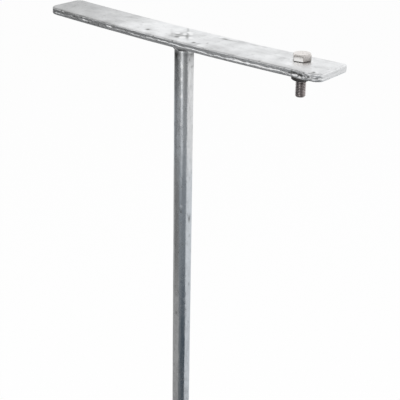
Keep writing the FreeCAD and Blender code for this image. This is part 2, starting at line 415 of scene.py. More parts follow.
def blend(tree, factor, first, second):
    """Colour between two colours."""
    made = node(tree, "ShaderNodeMix", {0: factor, 6: first, 7: second}, data_type="RGBA")
    return made.outputs[2]


def noise_field(tree, vector, scale, detail, distortion=0.0, roughness=0.5):
    return field(tree, "ShaderNodeTexNoise", {
        "Vector": vector, "Scale": scale, "Detail": detail, "Roughness": roughness,
        "Distortion": distortion})


def new_tree(name, kind, inputs, outputs):
    """Start a node group. A socket is given as its default or as the kind that it has. The
    group's inputs come back as fields by name."""
    tree = bpy.data.node_groups.new(name, kind)
    for side, wanted in (("INPUT", inputs), ("OUTPUT", outputs)):
        for label, value in wanted.items():
            named = {float: "Float", int: "Int"}.get(type(value), value)
            socket = tree.interface.new_socket(
                label, in_out=side, socket_type="NodeSocket" + named)
            if named != value:
                socket.default_value = value
    given = node(tree, "NodeGroupInput").outputs
    return tree, {label: Field(tree, given[label]) for label in inputs}


def rgba(colour):
    return (*colour, 1.0)


# Shader groups and materials


def skin_group(name, inputs):
    """Start a shader group that gives a metal's colour, roughness and relief. With its inputs
    come the place on the object, its stains and painted shade, and its painted highlights where
    those are below zero."""
    tree, given = new_tree(name, "ShaderNodeTree", inputs, {
        "Color": "Color", "Roughness": "Float", "Height": "Float"})
    place = node(tree, "ShaderNodeTexCoord").outputs["Object"]
    stain_and_painted_light = field(tree, "ShaderNodeAttribute", output="Fac", attribute_name="stain_and_painted_light")
    return tree, given, place, stain_and_painted_light, (stain_and_painted_light * -1).ramp(0.0, 1.0)


def zinc_group(name):
    """The coat of hot-dip zinc: cloudy patches, fine spangle, drawn-out runs and pits dark with
    dirt, with the stains, painted shade and painted highlights that the mesh carries.
    """
    tree, given, place, stain_and_painted_light, painted_highlight = skin_group(name, {
        "Run direction": "Vector", "Patch scale": 70.0, "Spangle scale": 260.0,
        "Bright": "Color", "Dull": "Color", "Dross and painted shade": "Color",
        "Smooth": 0.2, "Rough": 0.4, "Dullness": 0.4})
    patches = noise_field(tree, place, given["Patch scale"], 4.0, 0.8, 0.55)
    drawn = scaled(tree, place, given["Run direction"])
    runs = noise_field(tree, drawn, 420.0, 3.0, 0.2, 0.55)
    fine = noise_field(tree, place, 1500.0, 3.0, 0.0, 0.55)
    cells = node(tree, "ShaderNodeTexVoronoi", {
        "Vector": place, "Scale": given["Spangle scale"], "Randomness": 1.0})
    spangle = field(tree, "ShaderNodeRGBToBW", {0: cells.outputs["Color"]})

    dull = patches.ramp(0.38, 0.66, kind="SMOOTHSTEP") * 0.55 + runs.ramp(0.35, 0.7) * 0.3
    dull = ((dull + spangle * 0.15) * given["Dullness"]).math("MINIMUM", 1.0)
    # Above zero the stain darkens the zinc towards dross: real dross and dirt, and painted shade
    # below the bar and round the bolt
    dirt_and_painted_shade = (stain_and_painted_light * (fine * 0.5 + 0.75)).ramp(0.0, 1.0)
    colour = blend(tree, dull, given["Bright"], given["Dull"])
    colour = blend(tree, dirt_and_painted_shade, colour, given["Dross and painted shade"])
    # Below zero the stain paints the colour near white, as a painted highlight
    colour = blend(tree, painted_highlight, colour, (0.97, 0.97, 0.97, 1.0))
    roughness = (patches * 0.6 + runs * 0.25 + fine * 0.15).ramp(
        0.36, 0.64, given["Smooth"], given["Rough"])
    roughness = (roughness + dirt_and_painted_shade * 0.25).math("MINIMUM", 0.9)
    height = patches * 0.3 + runs * 0.4 + fine * 0.12 + spangle * 0.05
    node(tree, "NodeGroupOutput", {"Color": colour, "Roughness": roughness, "Height": height})
    return tree


def steel_group(name):
    """Worn stainless steel: faint turning lines and handling marks, with darker thread roots,
    painted shade in the joint under the head and painted highlights, as the mesh carries them.
    """
    tree, given, place, stain_and_painted_light, painted_highlight = skin_group(name, {
        "Clean": "Color", "Dirt": "Color", "Dirt amount": 0.3, "Smooth": 0.2, "Rough": 0.4})
    smears = noise_field(tree, place, 420.0, 4.0, 1.0)
    lines = noise_field(tree, scaled(tree, place, (1.0, 1.0, 6.0)), 1400.0, 2.0)
    dirt = smears.ramp(0.45, 0.7, kind="SMOOTHSTEP") * given["Dirt amount"]
    colour = blend(tree, (dirt + stain_and_painted_light).ramp(0.0, 1.0), given["Clean"], given["Dirt"])
    # Below zero the stain paints the colour near white, as a painted highlight
    colour = blend(tree, painted_highlight, colour, (0.97, 0.96, 0.94, 1.0))
    roughness = (smears * 0.7 + lines * 0.3).ramp(0.35, 0.65, given["Smooth"], given["Rough"])
    height = lines * 0.5 + smears * 0.5
    node(tree, "NodeGroupOutput", {"Color": colour, "Roughness": roughness, "Height": height})
    return tree


def blank_material(name):
    made = bpy.data.materials.new(name)
    made.use_nodes = True
    made.node_tree.nodes.clear()
    return made, made.node_tree


def metal(name, group_name, make_group, values, bump):
    """A metal whose colour, roughness and relief come from a shader group, which is made the
    first time that it is asked for. Its bump is in millimetres."""
    made, tree = blank_material(name)
    group = bpy.data.node_groups.get(group_name) or make_group(group_name)
    skin = node(tree, "ShaderNodeGroup", values, node_tree=group).outputs
    relief = node(tree, "ShaderNodeBump", {
        "Strength": 1.0, "Distance": bump * MM, "Height": skin["Height"]})
    shader = node(tree, "ShaderNodeBsdfPrincipled", {
        "Base Color": skin["Color"], "Metallic": 1.0, "Roughness": skin["Roughness"],
        "Normal": relief})
    node(tree, "ShaderNodeOutputMaterial", {"Surface": shader})
    return made


def zinc(name, finish, run_direction, patch_scale, smooth, rough, dullness, bump):
    return metal(name, "Hot-dip zinc", zinc_group, {
        "Run direction": run_direction, "Patch scale": patch_scale,
        "Bright": rgba(finish.bright_zinc), "Dull": rgba(finish.dull_zinc),
        "Dross and painted shade": rgba(finish.dross_and_painted_shade), "Smooth": smooth, "Rough": rough, "Dullness": dullness,
    }, bump)


def stainless(name, finish, clean, amount, smooth, rough):
    return metal(name, "Worn stainless", steel_group, {
        "Clean": rgba(clean), "Dirt": rgba(finish.grime_and_painted_light), "Dirt amount": amount,
        "Smooth": smooth, "Rough": rough}, 0.015)


# Meshes


def plain_object(name, mesh):
    made = bpy.data.objects.new(name, mesh)
    bpy.context.scene.collection.objects.link(made)
    return made


def evaluated_mesh(source):
    """The mesh that an object's modifiers make of it. The object itself is removed."""
    ready = source.evaluated_get(bpy.context.evaluated_depsgraph_get())
    mesh = bpy.data.meshes.new_from_object(ready)
    old = source.data
    source.modifiers.clear()
    bpy.data.objects.remove(source)
    bpy.data.meshes.remove(old)
    return mesh


def cleaned(mesh):
    """Merge a mesh's doubles and turn its faces outwards."""
    work = bmesh.new()
    work.from_mesh(mesh)
    bmesh.ops.remove_doubles(work, verts=work.verts, dist=MERGE_DISTANCE)
    bmesh.ops.dissolve_degenerate(work, edges=work.edges, dist=MERGE_DISTANCE)
    bmesh.ops.recalc_face_normals(work, faces=work.faces)
    work.to_mesh(mesh)
    work.free()
    return mesh


def new_mesh(name, points, faces, edges=()):
    mesh = bpy.data.meshes.new(name)
    mesh.from_pydata(points, edges, faces)
    return mesh


def bands(rows, closed=True):
    """Faces between rows of point numbers, each of which runs on to the next one, and is closed
    to a ring or left open."""
    faces = []
    for first, second in zip(rows, rows[1:]):
        count = len(first)
        for k in range(count if closed else count - 1):
            n = (k + 1) % count
            faces.append((first[k], second[k], second[n], first[n]))
    return faces


def turned_mesh(name, angles, outlines, ring=False):
    """A mesh from the outline at each angle, as radius and height. A ring's outline is closed,
    and any other's ends lie on the axis."""
    outlines = np.asarray(outlines, float)
    count, steps = outlines.shape[:2]
    radius, height = outlines[..., 0], outlines[..., 1]
    turn = np.asarray(angles).reshape(count, 1)
    points = np.stack([radius * np.cos(turn), radius * np.sin(turn), height], -1)
    rows = [range(i * steps, (i + 1) * steps) for i in (*range(count), 0)]
    return cleaned(new_mesh(name, points.reshape(-1, 3).tolist(), bands(rows, ring)))


def boolean(mesh, cutter, operation):
    """The first mesh cut by the second or joined with it."""
    body = plain_object("boolean_body", mesh)
    tool = plain_object("boolean_tool", cutter)
    step = body.modifiers.new("boolean", "BOOLEAN")
    step.operation = operation
    step.solver = "EXACT"
    step.object = tool
    result = evaluated_mesh(body)
    bpy.data.objects.remove(tool)
    bpy.data.meshes.remove(cutter)
    return result


def coordinates(mesh):
    points = np.empty(len(mesh.vertices) * 3)
    mesh.vertices.foreach_get("co", points)
    return points.reshape(-1, 3)


def directions(mesh):
    """The direction that the surface faces at each vertex."""
    normals = np.empty(len(mesh.vertices) * 3, np.float32)
    mesh.vertex_normals.foreach_get("vector", normals)
    return normals.reshape(-1, 3).astype(float)


def move_points(mesh, points):
    mesh.vertices.foreach_set("co", np.asarray(points, np.float32).ravel())
    mesh.update()


def keep_stain_and_painted_light(mesh, stain_and_painted_light):
    # The attribute holds stains and painted shade above zero, and painted highlights below zero
    layer = mesh.attributes.new("stain_and_painted_light", "FLOAT", "POINT")
    layer.data.foreach_set("value", np.clip(stain_and_painted_light, -1, 1).astype(np.float32))


def finished_piece(name, mesh, material, solid, sharp=35):
    """Shade a mesh, give it its material and let it stand for its solid."""
    mesh.name = name
    mesh.materials.clear()
    mesh.materials.append(material)
    for polygon in mesh.polygons:
        polygon.material_index = 0
    mesh.shade_smooth()
    mesh.set_sharp_from_angle(angle=math.radians(sharp))
    piece = plain_object(name, mesh)
    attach(piece, "root")
    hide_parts(solid)


def clouds(points, size, seed, octaves=2):
    """Smooth noise from about -1 to 1, whose lumps have the size given in millimetres."""
    spread = points / (np.ones(3) * size * MM) + seed * np.array([17.31, 5.17, 9.73])
    return np.array([noise.fractal(Vector(p), 1.0, 2.0, octaves) for p in spread])


def smooth_step(low, high, values):
    share = np.clip((values - low) / (high - low), 0, 1)
    return share * share * (3 - 2 * share)


def window(values, start, full, fading, end):
    """Rises from start to full, and falls again from fading to end."""
    return smooth_step(start, full, values) * smooth_step(end, fading, values)


def hump(values, middle, half_width):
    return np.exp(-((values - middle) / half_width) ** 2)


def apply_marks(marks, along, across, relief, stain_and_painted_light, mask, per_unit=1.0):
    """Add the height of each mark and how dark it is to a surface with those two coordinates.
    Below zero it is a painted highlight.
    """
    for at_along, at_across, half_length, half_width, turn, height, dark, *ring in marks:
        a, b = along - at_along, across - at_across * per_unit
        c, s = math.cos(math.radians(turn)), math.sin(math.radians(turn))
        distance = np.hypot((a * c + b * s) / half_length, (b * c - a * s) / half_width)
        shape = (RING_RADIUS, RING_WIDTH) if ring else (0, 1)
        share = hump(distance, *shape) * mask
        relief += height * share
        stain_and_painted_light += dark * share


# The flat bar


def end_columns(half_length, radii):
    """Where the mesh columns stand in the two corners of one end, counted from the middle."""
    turns = np.linspace(0, math.pi / 2, CORNER_STEPS)
    places = sorted(half_length - r + r * math.sin(t) for r in radii for t in turns)
    kept = [places[0]]
    for place in places[1:]:
        if place - kept[-1] > NARROWEST_COLUMN and half_length - place > LAST_COLUMN:
            kept.append(place)
    return np.array(kept + [half_length])


def corner_normals(outline, core, radii):
    """The way straight out at each point of an outline whose corners have those radii."""
    at_bolt, at_back = outline[:, 0] > 0, outline[:, 1] > 0
    radius = radii[at_bolt.astype(int), at_back.astype(int)]
    past = np.maximum(np.abs(outline) - core + radius[:, None], 0)
    at_end = np.abs(outline[:, 0]) >= core[0] - TINY
    past[at_end, 1] = 0
    past[~at_end & (past[:, 0] <= TINY), 1] = 1
    normals = np.sign(outline) * past
    return normals / np.linalg.norm(normals, axis=1)[:, None]


def bar_blank(bar):
    """The straight bar: a grid above and below, joined by rows that follow its outline."""
    edge, half_thickness = bar.edge_radius, bar.thickness / 2
    core = np.array([bar.length / 2 - edge, BAR_HALF_WIDTH - edge])
    # The free end's front and back corner, then those of the end with the bolt
    radii = np.array([[bar.front_corner_at_free_end, bar.back_corner_at_free_end],
                      [bar.front_corner_at_bolt, bar.back_corner_at_bolt]]) - edge
    free_end, bolt_end = (end_columns(core[0], pair) for pair in radii)
    count = int((free_end[0] + bolt_end[0]) / bar.cell) + 1
    along = np.concatenate([-free_end[::-1], np.linspace(-free_end[0], bolt_end[0], count)[1:-1],
                            bolt_end])
    columns, rows = len(along), int(2 * BAR_HALF_WIDTH / bar.cell) + 1
    radius = np.where(along < 0, radii[0][:, None], radii[1][:, None])
    past = np.clip(np.abs(along) - core[0] + radius, 0, radius)
    front, back = (core[1] - radius + np.sqrt(radius ** 2 - past ** 2))[:, :, None]
    front = -front
    grid = np.stack([np.repeat(along[:, None], rows, 1),
                     front + (back - front) * np.linspace(0, 1, rows)], -1)
    loop = [(i, 0) for i in range(columns)]
    loop += [(columns - 1, j) for j in range(1, rows)]
    loop += [(i, rows - 1) for i in range(columns - 2, -1, -1)]
    loop += [(0, j) for j in range(rows - 2, 0, -1)]
    outline = np.array([grid[i, j] for i, j in loop])
    outwards = corner_normals(outline, core, radii)

    roll = [(edge * math.sin(t), half_thickness - edge + edge * math.cos(t))
            for t in EDGE_TURNS]
    wall = half_thickness - edge
    rim = roll + [(edge, h) for h in np.linspace(wall, -wall, WALL_ROWS)]
    rim += [(out, -up) for out, up in reversed(roll)]

    flat = grid.reshape(-1, 2)
    levels = [(flat, half_thickness), (flat, -half_thickness)]
    levels += [(outline + outwards * out, up) for out, up in rim]
    points = np.concatenate([np.column_stack([level, np.full(len(level), up)])
                             for level, up in levels])

    faces = []
    size = columns * rows
    for i in range(columns - 1):
        for j in range(rows - 1):
            a, b = i * rows + j, (i + 1) * rows + j
            faces.append((a, b, b + 1, a + 1))
            faces.append((size + a, size + a + 1, size + b + 1, size + b))
    top = [i * rows + j for i, j in loop]
    count = len(loop)
    rings = [range(2 * size + k * count, 2 * size + (k + 1) * count) for k in range(len(rim))]
    faces += bands([top, *rings, [size + k for k in top]])
    return cleaned(new_mesh("bar_blank", points.tolist(), faces))


def bar_relief(bar, points, normals, bolt_place):
    """How many millimetres the zinc stands off the straight bar, and how dark it is, from dirt and
    from painted shade and painted highlights.
    """
    along, across, up = points.T / MM
    level = points * [1, 1, 0]
    wave = bar.wave_height / MM
    sideways = smooth_step(0.25, 0.8, np.hypot(normals[:, 0], normals[:, 1]))
    facing_up = smooth_step(0.3, 0.8, normals[:, 2])
    relief = wave * clouds(points, [40, 22, 22], 1) + 0.35 * wave * clouds(points, 6, 2)
    # Painted shade darkens the top towards the free end, for the dimmer surroundings that it
    # reflects there. The coat is cloudy all over and streaked along the bolt's half
    streaks = clouds(points, [60, 5, 20], 8) * smooth_step(0, 60, along)
    stain_and_painted_light = facing_up * (0.3 * smooth_step(-35, -75, along)
                         + 0.15 * smooth_step(-75, -135, along)
                         + 0.09 * smooth_step(0, 40, along)
                         + (0.07 + 0.05 * smooth_step(-90, -40, along))
                         * clouds(points, 13, 7, 3) + 0.07 * streaks)

    # The zinc drains down the sides and sets above their lower edge as an uneven bead, which
    # stands out to the rolled size, while the wall above it lies back. Beside the bolt it sags.
    drift, swell = clouds(level, 18, 3), clouds(level, 6, 4)
    from_free_end = smooth_step(-85, -25, along)
    runny = from_free_end * smooth_step(135, 120, along)
    sagging = window(along, 102, 114, 124, 132)
    plain = 0.35 + 0.65 * np.abs(normals[:, 1])
    knots = clouds(points, 1.9, 10) * sagging
    bead_top = (-0.35 + 0.5 * drift + 0.35 * swell - 0.7 * sagging
                - 0.5 * window(along, 20, 60, 100, 110) + 0.9 * knots)
    upper = smooth_step(2.6, 1.7, up)
    hollow = upper * smooth_step(-0.45, 0.45, up - bead_top)
    rough = 0.14 * clouds(points, [3.2, 3.2, 1.5], 5) * (2.2 - 1.2 * runny + 0.8 * sagging)
    lip = facing_up * np.exp((-BAR_HALF_WIDTH / MM - across) / 1.5) * np.clip(
        1 + 0.5 * drift + 0.3 * swell, 0.4, 1.4)
    relief -= 0.25 * lip
    stain_and_painted_light += 0.4 * lip
    relief = np.where(sideways > 0.01, relief - sideways * (
        bar.bead_height / MM * hollow * (1 + 0.5 * swell) * plain * (0.25 + 0.75 * runny)
        - rough * upper * plain + 0.05), relief)
    groove = hump(up - bead_top, 0.9, 0.45)
    stain_and_painted_light += sideways * plain * (0.3 * groove * np.clip(0.6 + swell, 0, 1)
                                 + 0.2 * (1 - from_free_end))
    dashes = clouds(points, [5, 5, 0.8], 9)
    corner = smooth_step(-124, -131, along)
    stain_and_painted_light += sideways * (plain * dashes * (0.5 - 0.25 * runny) * (1 - corner) + 0.35 * knots)
    specks = np.clip(clouds(points, 2.4, 6) - 0.45, 0, 1) * 2
    stain_and_painted_light += specks * (0.25 + 0.5 * sideways)

    apply_marks(TOP_MARKS, along, across, relief, stain_and_painted_light, facing_up)
    front = sideways * (normals[:, 1] < -0.3)
    apply_marks(FRONT_MARKS, along, up, relief, stain_and_painted_light, front)

    # Sides and ends stay within the rolled size, and the seat of the fasteners stays flat
    relief = np.where(sideways > 0.01, np.minimum(relief, 0.02 * (1 - sideways)), relief)
    from_bolt = np.hypot(along - bolt_place[0] / MM, across - bolt_place[1] / MM)
    free = np.where(sideways > 0.5, 1, smooth_step(7.5, 9.5, from_bolt))
    # Painted contact shadow: a faint dark ring on the top round the bolt's head
    grime_and_painted_light = 0.12 * hump(from_bolt, 6.4, 0.8) * facing_up
    return relief * free, stain_and_painted_light * free + grime_and_painted_light


def hanging_run(points):
    """How far a run of zinc hangs below the front edge beside the terminal."""
    along, across, up = points.T / MM
    share = window(along, 119, 124, 128, 134) * hump(across, -BAR_HALF_WIDTH / MM, 1.7)
    return 0.45 * MM * share * smooth_step(-0.6, -2.2, up)


def bowed(settings, points):
    """Bend points of the straight bar to its bow and put them in place."""
    bar = settings.bar
    middle_radius = bar.bow_radius - bar.thickness / 2
    angle = points[:, 0] / middle_radius
    reach = middle_radius - points[:, 2]
    centre = settings.weld.rod_leg + bar.bow_radius
    return np.column_stack([
        reach * np.sin(angle), points[:, 1], centre - reach * np.cos(angle)])


def bolt_on_bar(settings):
    """Place of the bolt along and across the straight bar."""
    bar, terminal = settings.bar, settings.terminal
    return bar.length / 2 - terminal.from_end, BAR_HALF_WIDTH - terminal.from_back_edge


class GROUNDROD_OT_cross_bar(bpy.types.Operator):
    """Build the flat bar with its rolled edges, bolt hole and uneven zinc"""
    bl_idname = "ground_rod.cross_bar"
    bl_label = "Cross Bar"

    def execute(self, context):
        settings = context.scene.ground_rod
        bar = settings.bar
        place = bolt_on_bar(settings)
        drill = settings.terminal.diameter / 2 + HOLE_CLEARANCE
        deep = 2 * bar.thickness
        outline = [(0, deep), (drill, deep), (drill, -deep), (0, -deep)]
        angles = np.linspace(0, 2 * math.pi, HOLE_SIDES, endpoint=False)
        cutter = turned_mesh("drill", angles, [outline] * HOLE_SIDES)
        cutter.transform(Matrix.Translation((*place, 0)))
        mesh = boolean(bar_blank(bar), cutter, "DIFFERENCE")
        points, normals = coordinates(mesh), directions(mesh)
        relief, stain_and_painted_light = bar_relief(bar, points, normals, place)
        coated = points + normals * relief[:, None] * MM
        coated[:, 2] -= hanging_run(points)
        move_points(mesh, bowed(settings, coated))
        keep_stain_and_painted_light(mesh, stain_and_painted_light)
        coat = zinc("Zinc on the bar", settings.finish, (0.25, 1.0, 1.0), patch_scale=70,
                    smooth=0.3, rough=0.46, dullness=0.5, bump=0.08)
        finished_piece("galvanised_cross_bar", mesh, coat, "cross_bar")
        return {"FINISHED"}


# The round rod


def rod_outline(settings):
    """Radius and height of the rod's side from its welded end down to the blunt tip."""
    rod, weld = settings.rod, settings.weld
    top, tip, slope = weld.rod_leg, ROD_LOW.z, rod.point_angle / 2
    nose = [(rod.tip_radius * math.cos(t), tip + rod.tip_radius * (1 - math.sin(t)))
            for t in np.linspace(slope, math.pi / 2, NOSE_ROWS)]
    shoulder = nose[0][1] + (ROD_RADIUS - nose[0][0]) / math.tan(slope)
    fused = ROD_RADIUS - weld.fusion
    outline = [(0, top), (fused / 2, top), (fused, top), ((fused + ROD_RADIUS) / 2, top / 2)]
    upper = np.arange(0, -SEEN_LENGTH, -SEEN_ROWS)
    lower = np.linspace(upper[-1] - 2 * MM, shoulder, UNSEEN_ROWS)
    outline += [(ROD_RADIUS, z) for z in (*upper, *lower)]
    for share in np.linspace(0, 1, POINT_ROWS)[1:-1]:
        outline.append((ROD_RADIUS + (nose[0][0] - ROD_RADIUS) * share,
                        shoulder + (nose[0][1] - shoulder) * share))
    return outline + nose[:-1] + [(0, tip)]


class GROUNDROD_OT_rod(bpy.types.Operator):
    """Build the round rod with its welded end, uneven zinc and blunt point"""
    bl_idname = "ground_rod.rod"
    bl_label = "Rod"

    def execute(self, context):
        settings = context.scene.ground_rod
        rod = settings.rod
        angles = np.linspace(-math.pi, math.pi, rod.sides, endpoint=False)
        mesh = turned_mesh("rod_blank", angles, [rod_outline(settings)] * rod.sides)

        points = coordinates(mesh)
        reach = np.hypot(points[:, 0], points[:, 1])
        heights = points[:, 2] / MM
        turn = np.degrees(np.arctan2(points[:, 1], points[:, 0]))
        free = smooth_step(0, -3, heights) * smooth_step(2, 8, reach / MM)
        near_top = smooth_step(-60, -8, heights)
        lumps = np.clip(clouds(points, [5, 5, 8], 13) - 0.4, 0, 1)
        relief = rod.wave_height / MM * (
            clouds(points, [9, 9, 60], 11) + 0.6 * clouds(points, [3.5, 3.5, 14], 12)
            + 1.2 * lumps + 0.8 * near_top * clouds(points, 4, 15))
        stain_and_painted_light = np.clip(clouds(points, [2.2, 2.2, 5], 14) - 0.42, 0, 1) * 1.1
        stain_and_painted_light += 0.12 * near_top * clouds(points, [2, 2, 6], 16)
        stain_and_painted_light += 0.14 * clouds(points, [2.5, 2.5, 8], 17)
        # Painted shade below the bar: the coat is darkened towards the rod's top, most on the
        # sides, least along the bright stripe where light runs down it, and more at the joint
        # under the bar
        painted_shade_below_bar = np.interp(turn, [-180, -75, -62, -48, -15, 25, 180],
                          [0.9, 0.7, 0.0, 0.5, 0.75, 1.0, 0.9])
        stain_and_painted_light += painted_shade_below_bar * np.minimum(np.exp(heights / 10), 0.8) + 0.3 * hump(heights, 0, 3)
        per_degree = ROD_RADIUS / MM * math.pi / 180
        apply_marks(ROD_MARKS, heights, turn * per_degree, relief, stain_and_painted_light, free, per_degree)
        relief *= free * MM
        points[:, :2] *= np.where(
            reach > 1e-6, (reach + relief) / np.maximum(reach, TINY), 1)[:, None]
        move_points(mesh, points)
        keep_stain_and_painted_light(mesh, stain_and_painted_light * free)
        coat = zinc("Zinc on the rod", settings.finish, (1.0, 1.0, 0.12), patch_scale=90,
                    smooth=0.15, rough=0.28, dullness=0.6, bump=0.07)
        finished_piece("galvanised_rod", mesh, coat, "rod")
        return {"FINISHED"}


# Geometry Nodes


def grown_by_nodes(source, tree, values):
    """The mesh that a Geometry Nodes tree makes of an object, with its inputs set by name."""
    step = source.modifiers.new(tree.name, "NODES")
    step.node_group = tree
    identifiers = {item.name: item.identifier for item in tree.interface.items_tree
                   if item.in_out == "INPUT"}
    for name, value in values.items():
        step[identifiers[name]] = value
    return cleaned(evaluated_mesh(source))


def close_tree(tree, geometry, material):
    """End a tree with real geometry that has its material."""
    real = node(tree, "GeometryNodeRealizeInstances", {0: geometry})
    coated = node(tree, "GeometryNodeSetMaterial", {"Geometry": real, "Material": material})
    node(tree, "NodeGroupOutput", {"Geometry": coated})
    return tree


# The weld


def weld_tree():
    """Sweeps the bead's section round the rod and raises its ripples."""
    tree, given = new_tree("Weld ripples", "GeometryNodeTree", {
        "Section": "Geometry", "Rod radius": 8 * MM, "Leg": 3.5 * MM, "Ripples": 31,
        "Ripple height": 0.28 * MM, "Slant": 3.0, "Segments": 420, "Material": "Material",
    }, {"Geometry": "Geometry"})
    section = node(tree, "GeometryNodeMeshToCurve", {"Mesh": given["Section"]})
    path = node(tree, "GeometryNodeCurvePrimitiveCircle", {
        "Radius": given["Rod radius"], "Resolution": given["Segments"]})
    swept = node(tree, "GeometryNodeCurveToMesh", {"Curve": path, "Profile Curve": section})

    place = node(tree, "GeometryNodeInputPosition")
    facing = node(tree, "GeometryNodeInputNormal")
    x, y, _ = split(tree, place)
    reach = (x * x + y * y).math("SQRT")
    share = ((reach - given["Rod radius"]) / given["Leg"]).ramp(0.0, 1.0)
    wobble = noise_field(tree, place, 260.0, 3.0) - 0.5
    lag = (share - 0.45) * (share - 0.45) * given["Slant"]
    phase = y.math("ARCTAN2", x) * given["Ripples"] + lag * 6.0 + wobble * 7.0
    ripple = phase.math("SINE") * 0.5 + 0.5
    ripple = ripple * ripple + wobble * 0.9
    # The bead's flat sides, which touch the rod and the bar, stay smooth
    nx, ny, nz = split(tree, facing)
    outwards = (nx * x + ny * y) / reach - nz
    exposed = outwards.ramp(0.5, 1.2) * (share * math.pi).math("SINE").ramp(0.0, 0.5)
    amount = ripple * exposed * given["Ripple height"]
    shift = node(tree, "ShaderNodeVectorMath", {0: facing, "Scale": amount}, operation="SCALE")
    raised = node(tree, "GeometryNodeSetPosition", {"Geometry": swept, "Offset": shift})
    return close_tree(tree, raised, given["Material"])


def weld_section(weld):
    """Radius past the rod and height of the bead's section, whose face is an arc."""
    foot = Vector((weld.bar_leg, weld.rod_leg))
    rise = foot.normalized()
    outwards = Vector((rise.y, -rise.x))
    face_radius = (foot.length ** 2 / 4 + weld.crown ** 2) / (2 * weld.crown)
    half_arc = math.asin(foot.length / 2 / face_radius)
    centre = foot / 2 + outwards * (weld.crown - face_radius)
    section = [tuple(foot), (weld.bar_leg / 2, weld.rod_leg), (-weld.fusion, weld.rod_leg)]
    for turn in np.linspace(-half_arc, half_arc, WELD_FACE_ROWS)[:-1]:
        section.append(tuple(centre + face_radius * (
            outwards * math.cos(turn) + rise * math.sin(turn))))
    return section


class GROUNDROD_OT_weld(bpy.types.Operator):
    """Sweep the rippled fillet weld round the rod"""
    bl_idname = "ground_rod.weld"
    bl_label = "Weld"

    def execute(self, context):
        settings = context.scene.ground_rod
        weld = settings.weld
        section = weld_section(weld)
        count = len(section)
        mesh = new_mesh("weld_section", [(out, -up, 0) for out, up in section], [],
                        [(i, (i + 1) % count) for i in range(count)])
        coat = zinc("Zinc on the weld", settings.finish, (1.0, 1.0, 1.0), patch_scale=160,
                    smooth=0.3, rough=0.5, dullness=1.0, bump=0.1)
        bead = grown_by_nodes(plain_object("weld_section", mesh), weld_tree(), {
            "Rod radius": ROD_RADIUS, "Leg": weld.bar_leg, "Ripples": weld.ripples,
            "Ripple height": weld.ripple_height, "Material": coat})
        points = coordinates(bead)
        turn = np.degrees(np.arctan2(points[:, 1], points[:, 0]))
        # The weld is darkened all over in clouds, with a painted highlight on its side at -93
        # degrees
        stain_and_painted_light = 0.55 + 0.4 * clouds(points, 2.5, 21) - 1.3 * hump(turn, -93, 9)
        keep_stain_and_painted_light(bead, stain_and_painted_light)
        finished_piece("galvanised_weld", bead, coat, "weld_bead", sharp=60)
        return {"FINISHED"}


# The earth terminal


def seat_matrix(settings):
    """Moves a fastener from its own frame, whose zero is the bar's top, to its seat."""
    bar, underside = settings.bar, settings.weld.rod_leg
    along, across = bolt_on_bar(settings)
    tilt = along / (bar.bow_radius - bar.thickness / 2)
    centre = Vector((0, 0, underside + bar.bow_radius))
    top = Vector((0, across, underside + bar.thickness))
    return (Matrix.Translation(centre) @ Matrix.Rotation(-tilt, 4, "Y")
            @ Matrix.Translation(-centre) @ Matrix.Translation(top))


def thread_tree():
    """Winds the thread's outline round the bolt, from under the head to the chamfered end."""
    tree, given = new_tree("Thread", "GeometryNodeTree", {
        "Geometry": "Geometry", "Outer radius": 4 * MM, "Depth": 0.767 * MM,
        "Pitch": 1.25 * MM, "Length": 30 * MM, "Run-out": 2.5 * MM,
        "Columns": THREAD_SIDES + 1, "Rows": 400, "Material": "Material",
    }, {"Geometry": "Geometry"})
    outer, depth, pitch, length, run_out = (
        given[name] for name in ("Outer radius", "Depth", "Pitch", "Length", "Run-out"))
    grid = node(tree, "GeometryNodeMeshGrid", {
        "Size X": 1.0, "Size Y": 1.0,
        "Vertices X": given["Columns"], "Vertices Y": given["Rows"]})
    across, down, _ = split(tree, node(tree, "GeometryNodeInputPosition"))
    turn, share = across + 0.5, down + 0.5
    # Rows follow the helix, and those past either end are held at it. A whole number of them
    # to each turn makes both sides of the seam meet.
    steps = given["Rows"] - 1
    rise = turn * pitch - share * (steps * pitch / THREAD_ROWS_A_TURN)
    height = rise.math("MINIMUM", 0.0).math("MAXIMUM", length * -1)
    phase = (turn - height / pitch).math("FRACT")
    wave = (phase * 2 - 1).math("ABSOLUTE")
    wound = outer - depth + depth * wave.ramp(0.18, 0.66)
    wound = wound + (outer - wound) * height.ramp(run_out * -1, 0.0)
    chamfer = outer - depth + (height + length)
    # The outermost rows close the ends on the axis
    inside = share.math("GREATER_THAN", 0.0005) * share.math("LESS_THAN", 0.9995)
    radius = wound.math("MINIMUM", chamfer) * inside
    angle = turn * (2 * math.pi)
    place = node(tree, "ShaderNodeCombineXYZ", {
        0: radius * angle.math("COSINE"), 1: radius * angle.math("SINE"), 2: height})
    wrapped = node(tree, "GeometryNodeSetPosition", {"Geometry": grid, "Position": place})
    merged = node(tree, "GeometryNodeMergeByDistance", {
        "Geometry": wrapped, "Distance": MERGE_DISTANCE})
    return close_tree(tree, merged, given["Material"])


def hexagon_angles(turn):
    """Directions round a hexagon, closer together at its corners."""
    steps = [-30, -24, -18, -13, -8, -4, -2.2, -1.4, -0.7, 0, 0.7, 1.4, 2.2, 4, 8, 13, 18, 24]
    return np.radians([60 * side + step for side in range(6) for step in steps]) + turn


def hexagon_reach(angles, turn, width, corner):
    """Distance from the middle to the side of a hexagon with slightly rounded corners."""
    beta = np.radians(np.abs((np.degrees(angles - turn) + 30) % 60 - 30))
    half_side = math.pi / 6
    inset = (width / 2 - corner) / math.cos(half_side)
    last = math.atan(corner * 0.5 / (inset + corner * math.cos(half_side)))
    side = width / 2 / np.cos(half_side - beta)
    arc = inset * np.cos(beta) + np.sqrt(np.maximum(corner ** 2 - (inset * np.sin(beta)) ** 2, 0))
    return np.where(beta < last, arc, side)


